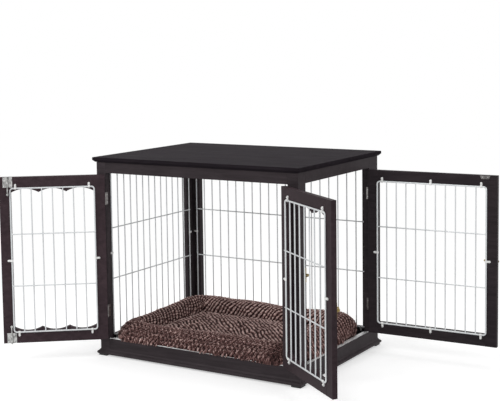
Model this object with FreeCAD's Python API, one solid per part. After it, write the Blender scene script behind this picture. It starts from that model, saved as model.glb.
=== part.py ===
import FreeCAD, Part
import math
import os

# Dog crate end table: a wooden table with wire sides, a pair of scalloped front doors,
# a large door in the right end, a floor tray and a bolster bed.
# Millimetres. +X runs along the front from left to right, +Y to the back, +Z up.
# The origin is the middle of the crate's footprint, on the floor.

Vec = FreeCAD.Vector

# ---------------------------------------------------------------- carcass
crate_length = 764.0          # over the outer faces of the posts
crate_depth = 560.0
crate_height = 670.0          # floor to tabletop
frame_thickness = 20.0        # posts' legs, rails and aprons
front_post_face = 36.0        # width of a post's leg, seen from the front
back_post_face = 48.0
side_front_face = 48.0        # width of a front post's leg, seen from the side
side_back_face = 66.0         # width of a back post's leg, seen from the side
rail_top = 59.0
apron_height = 36.0
wood_edge_round = 1.0

# ---------------------------------------------------------------- tabletop
top_thickness = 16.0
top_overhang = 10.0
top_edge_bevel = 7.0
top_edge_round = 2.5
corner_block_size = 24.0
top_screw_radius = 2.0
top_screw_head_radius = 4.0
top_screw_head_height = 2.4
top_screw_bite = 10.0
screw_clearance = 0.2

# ---------------------------------------------------------------- base
foot_height = 5.0
foot_size = 34.0
foot_corner_round = 3.0
moulding_height = 18.0
moulding_projection = 9.5
moulding_foot_projection = 5.5
moulding_round_height = 11.0
moulding_step = 1.3
moulding_cove_foot = 1.5
sill_width = 16.0
sill_thickness = 1.2
sill_rib_height = 0.5
sill_rib_width = 1.2
sill_rib_count = 4
sill_end_gap = 1.0

# ---------------------------------------------------------------- floor and tray
cleat_width = 15.0
cleat_height = 12.0
floor_board_underside = 30.0
floor_board_thickness = 5.0
floor_board_gap = 0.5
tray_side_gap = 12.0
tray_wall = 2.0
tray_rim_height = 10.0
tray_corner_radius = 25.0

# ---------------------------------------------------------------- doors
door_thickness = 16.0
door_side_gap = 2.0
door_meeting_gap = 3.0
door_bottom_gap = 4.0
door_top_gap = 3.0
door_stile_width = 37.5
door_rail_height = 39.5
scallop_depth = 12.0
scallop_count = 3
left_door_open = 142.0        # degrees from closed, as photographed
right_door_open = 143.0
side_door_open = 92.0

# ---------------------------------------------------------------- wire panels
border_wire_radius = 2.5
grid_wire_radius = 2.0
border_corner_radius = 9.0
wire_pitch = 35.0
weld_depth = 0.6
low_cross_wire_rise = 196.0   # above the bottom rail
high_cross_wire_drop = 191.0  # below the apron
panel_side_lap = 12.0         # fixed panel's border wire outside its opening
panel_front_lap = 3.0
panel_top_lap = 6.0
clip_width = 7.0
clip_shell = 1.6
clip_clearance = 0.05
clip_tongue = 11.0
clip_tongue_thickness = 3.0
clip_cap_radius = 3.4
clip_cap_height = 3.4

# ---------------------------------------------------------------- hinges
hinge_height = 40.0
hinge_top_drop = 82.0         # door top to the middle of the upper hinge
hinge_bottom_rise = 92.0      # door bottom to the middle of the lower hinge
hinge_leaf_depth = 10.0
hinge_leaf_clearance = 0.2
knuckle_radius = 2.6
knuckle_stand_off = 2.8
knuckle_gap = 0.3
hinge_pin_radius = 1.2
hinge_pin_clearance = 0.05
hinge_pin_head_radius = 2.0
hinge_pin_head_height = 1.0

# ---------------------------------------------------------------- slide bolts, inside the left door
bolt_plate_width = 31.0
bolt_plate_height = 34.0
bolt_plate_edge = 11.8        # plate to the door's free edge
bolt_plate_thickness = 1.2
bolt_line = 27.3              # rod to the door's free edge
bolt_rod_radius = 2.5
bolt_guide_wall = 1.4
bolt_guide_height = 24.0
bolt_keeper_clearance = 0.8   # rod to the frame's inner face
bolt_running_clearance = 0.05
bolt_proud = 1.5
bolt_knob_drop = 57.0
bolt_knob_radius = 4.5
bolt_keeper_height = 10.0
bolt_keeper_slack = 0.3
bolt_keeper_rise = 4.0

# ---------------------------------------------------------------- latches, outside the right and side doors
front_latch_drop = 305.0      # door top to the latch's middle
side_latch_drop = 277.0
latch_plate_height = 44.0
latch_plate_width = 34.0
latch_plate_edge = 2.0
latch_plate_thickness = 1.2
latch_rod_radius = 3.0
latch_rod_stand_off = 6.2
latch_rod_inset = 0.5
latch_rod_length = 48.5
latch_strap_length = 6.0
latch_strap_inset = 1.0
latch_strap_wall = 1.6
latch_stem_place = 26.5
latch_stem_radius = 2.0
latch_stem_length = 9.0
latch_knob_radius = 4.2
keeper_width = 13.0
keeper_edge = 1.5
keeper_slack = 0.2

# ---------------------------------------------------------------- magnetic catch of the side door
counter_plate_length = 33.0
counter_plate_height = 11.0
counter_plate_slant = 4.0
counter_plate_edge = 23.0
counter_plate_drop = 1.0
counter_plate_thickness = 1.2
magnet_radius = 4.0
magnet_depth = 8.0
magnet_spacing = 17.0

# ---------------------------------------------------------------- bed
bed_end_gap = 10.5            # bed to the inner faces of the end frames
bed_side_gap = 9.0            # bed to the inner faces of the front and back frames
bed_seat_gap = 0.3
bolster_width = 90.0
bolster_foot_inset = 22.0
bolster_shoulder_inset = 19.0
bolster_belly_share = 0.47    # heights of the widest line and of the shoulder, as shares of the bolster's
bolster_shoulder_share = 0.84
bolster_height_front_left = 62.0
bolster_height_front_right = 72.0
bolster_height_back_right = 84.0
bolster_height_back_left = 82.0
bolster_inner_bend = 4.0       # radius of the inner edge at the bolster's corners
pad_gap = 0.4
pad_corner_radius = 12.0
pad_edge_height = 22.0
pad_crown_height = 40.0
pad_end_crown_height = 30.0
pad_trim = 5.0                # cut away round the crowned form to its outline

# ---------------------------------------------------------------- worked out
half_length = crate_length / 2
half_depth = crate_depth / 2
inner_half_length = half_length - frame_thickness
inner_half_depth = half_depth - frame_thickness
frame_top = crate_height - top_thickness
front_opening_half = half_length - front_post_face
back_opening_half = half_length - back_post_face
side_opening_front = side_front_face - half_depth
side_opening_back = half_depth - side_back_face
apron_bottom = frame_top - apron_height
cross_wire_low = rail_top + low_cross_wire_rise
cross_wire_high = apron_bottom - high_cross_wire_drop
door_bottom = rail_top + door_bottom_gap
door_top = apron_bottom - door_top_gap
door_middle = (door_bottom + door_top) / 2
front_latch_level = door_top - front_latch_drop
side_latch_level = door_top - side_latch_drop
front_door_width = (2 * front_opening_half - 2 * door_side_gap - door_meeting_gap) / 2
side_door_width = side_opening_back - side_opening_front - 2 * door_side_gap
hinge_leaf_thickness = (door_side_gap - hinge_leaf_clearance) / 2
wire_lap = border_wire_radius
door_inner_face = knuckle_stand_off + door_thickness
bolt_stand_off = (frame_thickness - door_thickness) + bolt_rod_radius + bolt_keeper_clearance
floor_board_top = floor_board_underside + floor_board_thickness
tray_half_length = inner_half_length - tray_side_gap
tray_half_depth = inner_half_depth - tray_side_gap
tray_floor = floor_board_top + tray_wall
bed_half_length = inner_half_length - bed_end_gap
bed_half_depth = inner_half_depth - bed_side_gap
bed_seat = tray_floor + bed_seat_gap
bolster_corner_radius = bolster_width / 2 + bolster_inner_bend


# ================================================================ helpers
def box(x0, x1, y0, y1, z0, z1):
    return Part.makeBox(x1 - x0, y1 - y0, z1 - z0, Vec(x0, y0, z0))


def rod(start, end, radius):
    run = end - start
    return Part.makeCylinder(radius, run.Length, start, run)


def as_solid(shape):
    """The one solid in a shape, or the shape itself when it holds several."""
    return shape.Solids[0] if len(shape.Solids) == 1 else shape


def fused(solids):
    return as_solid(solids[0].multiFuse(solids[1:]).removeSplitter())


def board(x0, x1, y0, y1, z0, z1, along):
    """A wooden board with its four long edges rounded."""
    plain = box(x0, x1, y0, y1, z0, z1)
    long_edges = []
    for edge in plain.Edges:
        run = edge.Vertexes[1].Point - edge.Vertexes[0].Point
        if abs(run.dot(along)) > 0.99 * run.Length:
            long_edges.append(edge)
    return plain.makeFillet(wood_edge_round, long_edges)


def moved(shape, turn, x, y, z=0.0):
    """Turn about the vertical through the origin, then shift."""
    result = shape.copy()
    result.rotate(Vec(0, 0, 0), Vec(0, 0, 1), turn)
    result.translate(Vec(x, y, z))
    return result


def mirrored(shape):
    return shape.mirror(Vec(0, 0, 0), Vec(1, 0, 0))


def turned_in_panel(shape, quarter_turns):
    """Turn about the Y axis, from up towards +X."""
    result = shape.copy()
    result.rotate(Vec(0, 0, 0), Vec(0, 1, 0), 90.0 * quarter_turns)
    return result


def save(name, shapes):
    solids = [as_solid(shape) for shape in shapes]
    shape = solids[0] if len(solids) == 1 else Part.makeCompound(solids)
    shape.exportStep("parts/" + name + ".step")
    volume = sum(solid.Volume for solid in solids)
    print(name, len(solids), "solids", round(volume / 1000.0, 2), "cm3")


# ================================================================ carcass
def corner_post(face_width, side_face, side_x, side_y):
    """An L-shaped post: one leg in the front or back frame, one in the side frame."""
    front_leg = box(0, face_width, 0, frame_thickness, foot_height, frame_top)
    side_leg = box(0, frame_thickness, 0, side_face, foot_height, frame_top)
    post = fused([front_leg, side_leg])
    outer_edges = []
    for edge in post.Edges:
        start = edge.Vertexes[0].Point
        end = edge.Vertexes[1].Point
        upright = abs(start.x - end.x) < 0.01 and abs(start.y - end.y) < 0.01
        inside_corner = abs(start.x - frame_thickness) < 0.01 and abs(start.y - frame_thickness) < 0.01
        if upright and not inside_corner:
            outer_edges.append(edge)
    post = post.makeFillet(wood_edge_round, outer_edges)
    if side_x > 0:
        post = mirrored(post)
    if side_y > 0:
        post = post.mirror(Vec(0, 0, 0), Vec(0, 1, 0))
    post.translate(Vec(side_x * half_length, side_y * half_depth, 0))
    return post


def front_or_back_board(opening_half, side_y, z0, z1):
    outer = side_y * half_depth
    inner = side_y * inner_half_depth
    return board(-opening_half, opening_half, min(outer, inner), max(outer, inner), z0, z1, Vec(1, 0, 0))


def side_board(side_x, z0, z1):
    outer = side_x * half_length
    inner = side_x * inner_half_length
    return board(min(outer, inner), max(outer, inner), side_opening_front, side_opening_back, z0, z1,
                 Vec(0, 1, 0))


def top_panel():
    reach_x = half_length + top_overhang
    reach_y = half_depth + top_overhang
    panel = box(-reach_x, reach_x, -reach_y, reach_y, frame_top, crate_height)
    lower = [edge for edge in panel.Edges if abs(edge.BoundBox.ZMax - frame_top) < 0.01]
    panel = panel.makeChamfer(top_edge_bevel, lower)
    upper = [edge for edge in panel.Edges if abs(edge.BoundBox.ZMin - crate_height) < 0.01]
    return panel.makeFillet(top_edge_round, upper)


def corner_places(half_x, half_y):
    return [(side_x, side_y, side_x * half_x, side_y * half_y) for side_x in (-1, 1) for side_y in (-1, 1)]


def corner_blocks():
    """Blocks in the upper inner corners that tie the top to the posts."""
    blocks = []
    reach = corner_block_size / 2
    for side_x, side_y, x, y in corner_places(inner_half_length - reach, inner_half_depth - reach):
        block = box(x - reach, x + reach, y - reach, y + reach, frame_top - corner_block_size, frame_top)
        blocks.append(block)
    return blocks


def top_screws():
    screws = []
    reach = corner_block_size / 2
    head_top = frame_top - corner_block_size
    for side_x, side_y, x, y in corner_places(inner_half_length - reach, inner_half_depth - reach):
        head = rod(Vec(x, y, head_top - top_screw_head_height), Vec(x, y, head_top), top_screw_head_radius)
        shank = rod(Vec(x, y, head_top), Vec(x, y, frame_top + top_screw_bite), top_screw_radius)
        screws.append(fused([head, shank]))
    return screws


def drilled(solids, screws, clearance):
    """Screw holes along each screw's shank, through whichever solid it passes."""
    result = []
    for solid in solids:
        for screw in screws:
            middle = screw.CenterOfMass
            hole = rod(Vec(middle.x, middle.y, frame_top - 2 * corner_block_size),
                       Vec(middle.x, middle.y, frame_top + top_screw_bite), top_screw_radius + clearance)
            if solid.distToShape(hole)[0] < 0.001:
                solid = solid.cut(hole)
        result.append(solid)
    return result


# ================================================================ base
def arc(start, middle, end):
    return Part.Arc(start, middle, end).toShape()


def moulding_profile():
    """Rounded nose with a small step and a cove above it, in the plane x = 0, outwards is -Y."""
    def point(out, height):
        return Vec(0, -out, foot_height + height)

    half_round = moulding_round_height / 2
    step_out = moulding_foot_projection - moulding_step
    cove_foot_height = moulding_round_height + moulding_cove_foot
    cove_height = moulding_height - cove_foot_height
    edges = [
        Part.makeLine(point(0, 0), point(moulding_foot_projection, 0)),
        arc(point(moulding_foot_projection, 0), point(moulding_projection, half_round),
            point(moulding_foot_projection, moulding_round_height)),
        Part.makeLine(point(moulding_foot_projection, moulding_round_height),
                      point(step_out, moulding_round_height)),
        Part.makeLine(point(step_out, moulding_round_height), point(step_out, cove_foot_height)),
        arc(point(step_out, cove_foot_height), point(0.45 * step_out, cove_foot_height + 0.4 * cove_height),
            point(0, moulding_height)),
        Part.makeLine(point(0, moulding_height), point(0, 0)),
    ]
    return Part.Face(Part.Wire(edges))


def moulding_stick(half_run):
    """A length of base moulding along X with mitred ends, its back face in the plane y = 0."""
    reach = half_run + moulding_projection
    profile = moulding_profile()
    profile.translate(Vec(-reach, 0, 0))
    stick = profile.extrude(Vec(2 * reach, 0, 0))
    corners = [Vec(-half_run, 0, 0), Vec(half_run, 0, 0), Vec(reach, -moulding_projection, 0),
               Vec(-reach, -moulding_projection, 0), Vec(-half_run, 0, 0)]
    mitre = Part.Face(Part.makePolygon(corners)).extrude(Vec(0, 0, foot_height + moulding_height))
    return stick.common(mitre)


def corner_feet():
    feet = []
    out = moulding_foot_projection
    reach = foot_size / 2
    for side_x, side_y, x, y in corner_places(half_length + out - reach, half_depth + out - reach):
        foot = box(x - reach, x + reach, y - reach, y + reach, 0, foot_height)
        upright = [edge for edge in foot.Edges if edge.BoundBox.ZLength > foot_height / 2]
        feet.append(foot.makeFillet(foot_corner_round, upright))
    return feet


def sill_strip(run):
    """Ribbed metal strip along X, centred on the origin, lying on z = 0."""
    strip = [box(-run / 2, run / 2, -sill_width / 2, sill_width / 2, 0, sill_thickness)]
    rib_pitch = sill_width / sill_rib_count
    for number in range(sill_rib_count):
        middle = (number + 0.5) * rib_pitch - sill_width / 2
        strip.append(box(-run / 2, run / 2, middle - sill_rib_width / 2, middle + sill_rib_width / 2,
                         sill_thickness, sill_thickness + sill_rib_height))
    return fused(strip)


def sill_strips():
    middle_of_rail = frame_thickness / 2
    front = moved(sill_strip(2 * (front_opening_half - sill_end_gap)), 0, 0, middle_of_rail - half_depth,
                  rail_top)
    side_run = side_opening_back - side_opening_front - 2 * sill_end_gap
    side_middle = (side_opening_front + side_opening_back) / 2
    side = moved(sill_strip(side_run), 90, half_length - middle_of_rail, side_middle, rail_top)
    return [front, side]


# ================================================================ floor and tray
def floor_cleats():
    z0 = floor_board_underside - cleat_height
    z1 = floor_board_underside
    long_half = inner_half_length
    short_half = inner_half_depth - cleat_width
    cleats = []
    for side in (-1, 1):
        outer = side * inner_half_depth
        inner = side * (inner_half_depth - cleat_width)
        cleats.append(box(-long_half, long_half, min(outer, inner), max(outer, inner), z0, z1))
    for side in (-1, 1):
        outer = side * inner_half_length
        inner = side * (inner_half_length - cleat_width)
        cleats.append(box(min(outer, inner), max(outer, inner), -short_half, short_half, z0, z1))
    return cleats


def floor_board():
    half_x = inner_half_length - floor_board_gap
    half_y = inner_half_depth - floor_board_gap
    return box(-half_x, half_x, -half_y, half_y, floor_board_underside, floor_board_top)


def rounded_block(half_x, half_y, radius, z0, z1):
    block = box(-half_x, half_x, -half_y, half_y, z0, z1)
    upright = [edge for edge in block.Edges if edge.BoundBox.ZLength > (z1 - z0) / 2]
    return block.makeFillet(radius, upright)


def floor_tray():
    rim = floor_board_top + tray_wall + tray_rim_height
    outside = rounded_block(tray_half_length, tray_half_depth, tray_corner_radius, floor_board_top, rim)
    inside = rounded_block(tray_half_length - tray_wall, tray_half_depth - tray_wall,
                           tray_corner_radius - tray_wall, tray_floor, rim + 1.0)
    return outside.cut(inside)


# ================================================================ wire panels
# A panel lies on a wooden face y = 0 and stands off towards +Y. Its border wire's middle line
# runs from the origin to (width, height).
def border_wire(width, height):
    bend = border_corner_radius
    level = border_wire_radius
    solids = []
    for x in (0, width):
        solids.append(rod(Vec(x, level, bend), Vec(x, level, height - bend), border_wire_radius))
    for z in (0, height):
        solids.append(rod(Vec(bend, level, z), Vec(width - bend, level, z), border_wire_radius))
    corners = [(bend, bend, 180.0), (width - bend, bend, 90.0),
               (width - bend, height - bend, 0.0), (bend, height - bend, 270.0)]
    for x, z, start_turn in corners:
        circle = Part.makeCircle(border_wire_radius, Vec(0, 0, bend), Vec(1, 0, 0))
        elbow = Part.Face(Part.Wire(circle)).revolve(Vec(0, 0, 0), Vec(0, 1, 0), 90.0)
        elbow.rotate(Vec(0, 0, 0), Vec(0, 1, 0), start_turn)
        elbow.translate(Vec(x, level, z))
        solids.append(elbow)
    return solids


def gap_count(width):
    return max(2, round(width / wire_pitch))


def wire_panel(width, bottom, top):
    """Border, uprights in its plane and two cross wires welded on the room side."""
    height = top - bottom
    solids = border_wire(width, height)
    gaps = gap_count(width)
    for number in range(1, gaps):
        x = width * number / gaps
        foot = Vec(x, border_wire_radius, 0)
        solids.append(rod(foot, foot + Vec(0, 0, height), grid_wire_radius))
    cross_level = border_wire_radius + 2 * grid_wire_radius - weld_depth
    for cross in (cross_wire_low, cross_wire_high):
        z = cross - bottom
        solids.append(rod(Vec(0, cross_level, z), Vec(width, cross_level, z), grid_wire_radius))
    panel = fused(solids)
    panel.translate(Vec(0, 0, bottom))
    return panel


def wire_clip():
    """A clip over a wire along X at the origin, its tongue pointing up the wooden face."""
    outer = border_wire_radius + clip_shell
    half = clip_width / 2
    level = border_wire_radius
    saddle = rod(Vec(-half, level, 0), Vec(half, level, 0), outer)
    saddle = saddle.common(box(-half, half, 0, level + outer, -outer, outer))
    tongue = box(-half, half, 0, clip_tongue_thickness, 0, clip_tongue)
    tongue_end = rod(Vec(0, 0, clip_tongue), Vec(0, clip_tongue_thickness, clip_tongue), half)
    cap_base = Vec(0, clip_tongue_thickness, clip_tongue - half / 2)
    cap_ball_radius = (clip_cap_radius ** 2 + clip_cap_height ** 2) / (2 * clip_cap_height)
    cap = Part.makeSphere(cap_ball_radius, cap_base + Vec(0, clip_cap_height - cap_ball_radius, 0))
    reach = 2 * clip_tongue
    above_tongue = box(-reach, reach, clip_tongue_thickness / 2, reach, 0, reach)
    clip = fused([saddle, tongue, tongue_end, cap.common(above_tongue)])
    wire = rod(Vec(-half - 1, level, 0), Vec(half + 1, level, 0), border_wire_radius + clip_clearance)
    below_wire = box(-half - 1, half + 1, 0, level, -outer, border_wire_radius + clip_clearance)
    return clip.cut(fused([wire, below_wire]))


def panel_clips(width, bottom, top, count):
    """Clips between the uprights along the top and bottom, and one half-way up each side."""
    gaps = gap_count(width)
    clip = wire_clip()
    clips = []
    for number in range(count):
        station = round(number * (gaps - 1) / (count - 1)) + 0.5
        x = width * station / gaps
        upper = turned_in_panel(clip, 0)
        upper.translate(Vec(x, 0, top))
        lower = turned_in_panel(clip, 2)
        lower.translate(Vec(x, 0, bottom))
        clips += [upper, lower]
    middle = (bottom + top) / 2
    left = turned_in_panel(clip, -1)
    left.translate(Vec(0, 0, middle))
    right = turned_in_panel(clip, 1)
    right.translate(Vec(width, 0, middle))
    return clips + [left, right]


# ================================================================ doors
# A door is drawn closed and right-hinged: hinge axis at the origin, leaf towards -X,
# outer face at y = knuckle_stand_off, room side towards +Y. It is then opened and placed.
def free_edge(width):
    return -(door_side_gap / 2 + width)


def hinge_edge():
    return -door_side_gap / 2


def door_stiles(width):
    stiles = []
    for x0 in (free_edge(width), hinge_edge() - door_stile_width):
        stiles.append(board(x0, x0 + door_stile_width, knuckle_stand_off, door_inner_face,
                            door_bottom, door_top, Vec(0, 0, 1)))
    return stiles


def straight_rails(width):
    x0 = free_edge(width) + door_stile_width
    x1 = hinge_edge() - door_stile_width
    y0 = knuckle_stand_off
    y1 = door_inner_face
    lower = board(x0, x1, y0, y1, door_bottom, door_bottom + door_rail_height, Vec(1, 0, 0))
    upper = board(x0, x1, y0, y1, door_top - door_rail_height, door_top, Vec(1, 0, 0))
    return [lower, upper]


def scalloped_rail(width):
    """Lower rail whose upper edge dips in a row of shallow arches between raised points."""
    x0 = free_edge(width) + door_stile_width
    x1 = hinge_edge() - door_stile_width
    step = (x1 - x0) / scallop_count
    dip = door_bottom + door_rail_height
    peak = dip + scallop_depth

    def point(x, z):
        return Vec(x, knuckle_stand_off, z)

    edges = [Part.makeLine(point(x0, peak), point(x0, door_bottom)),
             Part.makeLine(point(x0, door_bottom), point(x1, door_bottom)),
             Part.makeLine(point(x1, door_bottom), point(x1, peak))]
    for number in range(scallop_count):
        start = x1 - number * step
        edges.append(arc(point(start, peak), point(start - step / 2, dip), point(start - step, peak)))
    face = Part.Face(Part.Wire(edges))
    return face.extrude(Vec(0, door_thickness, 0))


def scalloped_rails(width):
    lower = scalloped_rail(width)
    upper = lower.mirror(Vec(0, 0, door_middle), Vec(0, 0, 1))
    return [lower, upper]


def door_wire_frame(width):
    """Left end, width, bottom and top of a door's border wire."""
    x0 = free_edge(width) + door_stile_width - wire_lap
    span = width - 2 * (door_stile_width - wire_lap)
    bottom = door_bottom + door_rail_height - wire_lap
    top = door_top - door_rail_height + wire_lap
    return x0, span, bottom, top


def door_wire(width):
    x0, span, bottom, top = door_wire_frame(width)
    return moved(wire_panel(span, bottom, top), 0, x0, door_inner_face)


def door_clips(width, count):
    x0, span, bottom, top = door_wire_frame(width)
    return [moved(clip, 0, x0, door_inner_face) for clip in panel_clips(span, bottom, top, count)]


# ================================================================ hinges
def hinge_middles():
    return [door_bottom + hinge_bottom_rise, door_top - hinge_top_drop]


def knuckle_levels():
    """Ends of the three knuckles, from the hinge's foot: two on the post's leaf, one on the door's."""
    third = hinge_height / 3
    return [(0.0, third), (third + knuckle_gap, 2 * third - knuckle_gap), (2 * third, hinge_height)]


def hinge_leaf(on_door):
    """One leaf with its knuckles, the hinge's foot at z = 0."""
    near = hinge_leaf_clearance / 2
    far = near + hinge_leaf_thickness
    x0, x1 = (-far, -near) if on_door else (near, far)
    plate = box(x0, x1, 0, knuckle_stand_off + hinge_leaf_depth, 0, hinge_height)
    own = [1] if on_door else [0, 2]
    levels = knuckle_levels()
    for number in range(3):
        bottom, top = levels[number]
        if number not in own:
            foot = Vec(0, 0, bottom - knuckle_gap)
            room = rod(foot, Vec(0, 0, top + knuckle_gap), knuckle_radius + knuckle_gap)
            plate = plate.cut(room)
    solids = [plate]
    for number in own:
        bottom, top = levels[number]
        solids.append(rod(Vec(0, 0, bottom), Vec(0, 0, top), knuckle_radius))
    leaf = fused(solids)
    bore = rod(Vec(0, 0, -1), Vec(0, 0, hinge_height + 1), hinge_pin_radius + hinge_pin_clearance)
    return leaf.cut(bore)


def hinge_pin():
    head = hinge_pin_head_height
    shaft = rod(Vec(0, 0, 0), Vec(0, 0, hinge_height), hinge_pin_radius)
    lower = rod(Vec(0, 0, -head), Vec(0, 0, 0), hinge_pin_head_radius)
    upper = rod(Vec(0, 0, hinge_height), Vec(0, 0, hinge_height + head), hinge_pin_head_radius)
    return fused([shaft, lower, upper])


def at_both_hinges(piece):
    pieces = []
    for middle in hinge_middles():
        pieces.append(moved(piece, 0, 0, 0, middle - hinge_height / 2))
    return pieces


# ================================================================ slide bolts of the left door
def bolt_guide(width):
    """Plate and barrel of the lower slide bolt, on the door's inner face."""
    edge = free_edge(width)
    face = door_inner_face
    axis_x = edge + bolt_line
    axis_y = face + bolt_stand_off
    outer = bolt_rod_radius + bolt_guide_wall
    low = door_bottom + (bolt_plate_height - bolt_guide_height) / 2
    high = low + bolt_guide_height
    plate = box(edge + bolt_plate_edge, edge + bolt_plate_edge + bolt_plate_width, face,
                face + bolt_plate_thickness, door_bottom, door_bottom + bolt_plate_height)
    web = box(axis_x - outer, axis_x + outer, face, axis_y, low, high)
    barrel = rod(Vec(axis_x, axis_y, low), Vec(axis_x, axis_y, high), outer)
    bore = rod(Vec(axis_x, axis_y, low - 1), Vec(axis_x, axis_y, high + 1),
               bolt_rod_radius + bolt_running_clearance)
    return fused([plate, web, barrel]).cut(bore)


def bolt_rod(width):
    """Lower slide bolt, drawn back, with a ball knob at its upper end."""
    axis_x = free_edge(width) + bolt_line
    axis_y = door_inner_face + bolt_stand_off
    tip = door_bottom - bolt_proud
    knob_height = door_bottom + bolt_knob_drop
    shaft = rod(Vec(axis_x, axis_y, tip), Vec(axis_x, axis_y, knob_height), bolt_rod_radius)
    knob = Part.makeSphere(bolt_knob_radius, Vec(axis_x, axis_y, knob_height))
    return fused([shaft, knob])


def bolt_keeper(width):
    """Loop on the frame's inner face that takes the lower bolt, in the closed door's drawing."""
    axis_x = free_edge(width) + bolt_line
    axis_y = door_inner_face + bolt_stand_off
    face = knuckle_stand_off + frame_thickness
    outer = bolt_rod_radius + bolt_keeper_slack + bolt_guide_wall
    high = rail_top - bolt_keeper_rise
    low = high - bolt_keeper_height
    web = box(axis_x - outer, axis_x + outer, face, axis_y, low, high)
    barrel = rod(Vec(axis_x, axis_y, low), Vec(axis_x, axis_y, high), outer)
    bore = rod(Vec(axis_x, axis_y, low - 1), Vec(axis_x, axis_y, high + 1),
               bolt_rod_radius + bolt_keeper_slack)
    beyond_face = box(axis_x - outer, axis_x + outer, face - outer, face, low, high)
    plate = box(axis_x - 2 * outer, axis_x + 2 * outer, face, face + bolt_plate_thickness, low, high)
    return fused([web, barrel, plate]).cut(bore).cut(beyond_face)


def upper_twin(shape):
    return shape.mirror(Vec(0, 0, door_middle), Vec(0, 0, 1))


def upper_keeper(shape):
    """The keeper's twin hangs as far above the apron's lower edge as this one lies below the rail's top."""
    return shape.mirror(Vec(0, 0, (rail_top + apron_bottom) / 2), Vec(0, 0, 1))


# ================================================================ latches on the doors' outer faces
def latch_guide(width, level):
    """Plate with two bored straps, on the outer face of the free stile."""
    x0 = free_edge(width) + latch_plate_edge
    x1 = x0 + latch_plate_width
    face = knuckle_stand_off
    axis_y = face - latch_rod_stand_off
    outer = latch_rod_radius + latch_strap_wall
    half = latch_plate_height / 2
    solids = [box(x0, x1, face - latch_plate_thickness, face, level - half, level + half)]
    for start in (x0 + latch_strap_inset, x1 - latch_strap_length):
        end = start + latch_strap_length
        solids.append(box(start, end, axis_y, face, level - outer, level + outer))
        solids.append(rod(Vec(start, axis_y, level), Vec(end, axis_y, level), outer))
    bore = rod(Vec(x0 - 1, axis_y, level), Vec(x1 + 1, axis_y, level),
               latch_rod_radius + bolt_running_clearance)
    return fused(solids).cut(bore)


def latch_bolt(width, level):
    edge = free_edge(width)
    axis_y = knuckle_stand_off - latch_rod_stand_off
    start = edge + latch_rod_inset
    stem_x = edge + latch_stem_place
    stem_end = axis_y - latch_stem_length
    shaft = rod(Vec(start, axis_y, level), Vec(start + latch_rod_length, axis_y, level),
                latch_rod_radius)
    stem = rod(Vec(stem_x, axis_y, level), Vec(stem_x, stem_end, level), latch_stem_radius)
    knob = Part.makeSphere(latch_knob_radius, Vec(stem_x, stem_end, level))
    return fused([shaft, stem, knob])


def latch_keeper(edge, direction, level):
    """Bored loop on an outer face, beyond the edge that faces the latch."""
    face = knuckle_stand_off
    axis_y = face - latch_rod_stand_off
    outer = latch_rod_radius + latch_strap_wall
    near = edge + direction * keeper_edge
    far = near + direction * keeper_width
    x0 = min(near, far)
    x1 = max(near, far)
    half = latch_plate_height / 2
    plate = box(x0, x1, face - latch_plate_thickness, face, level - half, level + half)
    web = box(x0, x1, axis_y, face, level - outer, level + outer)
    loop = rod(Vec(x0, axis_y, level), Vec(x1, axis_y, level), outer)
    bore = rod(Vec(x0 - 1, axis_y, level), Vec(x1 + 1, axis_y, level),
               latch_rod_radius + keeper_slack)
    return fused([plate, web, loop]).cut(bore)


# ================================================================ magnetic catch
def counter_plate(width):
    """Steel plate with slanted ends, in the upper free corner of the door's inner face."""
    x0 = free_edge(width) + counter_plate_edge
    x1 = x0 + counter_plate_length
    z1 = door_top - counter_plate_drop
    z0 = z1 - counter_plate_height
    slant = counter_plate_slant
    face = door_inner_face
    corners = [Vec(x0, face, z1), Vec(x0 + slant, face, z0), Vec(x1 - slant, face, z0), Vec(x1, face, z1),
               Vec(x0, face, z1)]
    return Part.Face(Part.makePolygon(corners)).extrude(Vec(0, counter_plate_thickness, 0))


def magnets(width):
    """Round magnets let into the apron's underside above the counter plate, in the closed door's drawing."""
    middle = free_edge(width) + counter_plate_edge + counter_plate_length / 2
    y = door_inner_face + counter_plate_thickness / 2
    found = []
    for side in (-0.5, 0.5):
        x = middle + side * magnet_spacing
        found.append(rod(Vec(x, y, apron_bottom), Vec(x, y, apron_bottom + magnet_depth), magnet_radius))
    return found


# ================================================================ placing the doors
front_axis_x = front_opening_half - door_side_gap / 2
front_axis_y = -half_depth - knuckle_stand_off
side_axis_x = half_length + knuckle_stand_off
side_axis_y = side_opening_back - door_side_gap / 2


def on_right_door(shape, opening=right_door_open):
    return moved(shape, opening, front_axis_x, front_axis_y)


def on_left_door(shape, opening=left_door_open):
    turned = moved(shape, opening, 0, 0)
    return moved(mirrored(turned), 0, -front_axis_x, front_axis_y)


def on_side_door(shape, opening=side_door_open):
    return moved(shape, 90 + opening, side_axis_x, side_axis_y)


def closed(place, shape):
    return place(shape, 0)


def each(place, shapes):
    return [place(shape) for shape in shapes]


def each_closed(place, shapes):
    return [closed(place, shape) for shape in shapes]


# ================================================================ bed
def bolster_section(height):
    """Oval with a flat foot in the plane x = 0, its middle on y = 0 and its foot on z = 0."""
    belly_height = bolster_belly_share * height
    shoulder_height = bolster_shoulder_share * height

    def point(side, inset, level):
        return Vec(0, side * (bolster_width / 2 - inset), level)

    foot_left = point(-1, bolster_foot_inset, 0)
    foot_right = point(1, bolster_foot_inset, 0)
    shoulder_left = point(-1, bolster_shoulder_inset, shoulder_height)
    shoulder_right = point(1, bolster_shoulder_inset, shoulder_height)
    edges = [Part.makeLine(foot_left, foot_right),
             arc(foot_right, point(1, 0, belly_height), shoulder_right),
             arc(shoulder_right, Vec(0, 0, height), shoulder_left),
             arc(shoulder_left, point(-1, 0, belly_height), foot_left)]
    return Part.Wire(edges)


def placed_section(height, turn, x, y):
    section = bolster_section(height)
    section.rotate(Vec(0, 0, 0), Vec(0, 0, 1), turn)
    section.translate(Vec(x, y, 0))
    return section


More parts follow.
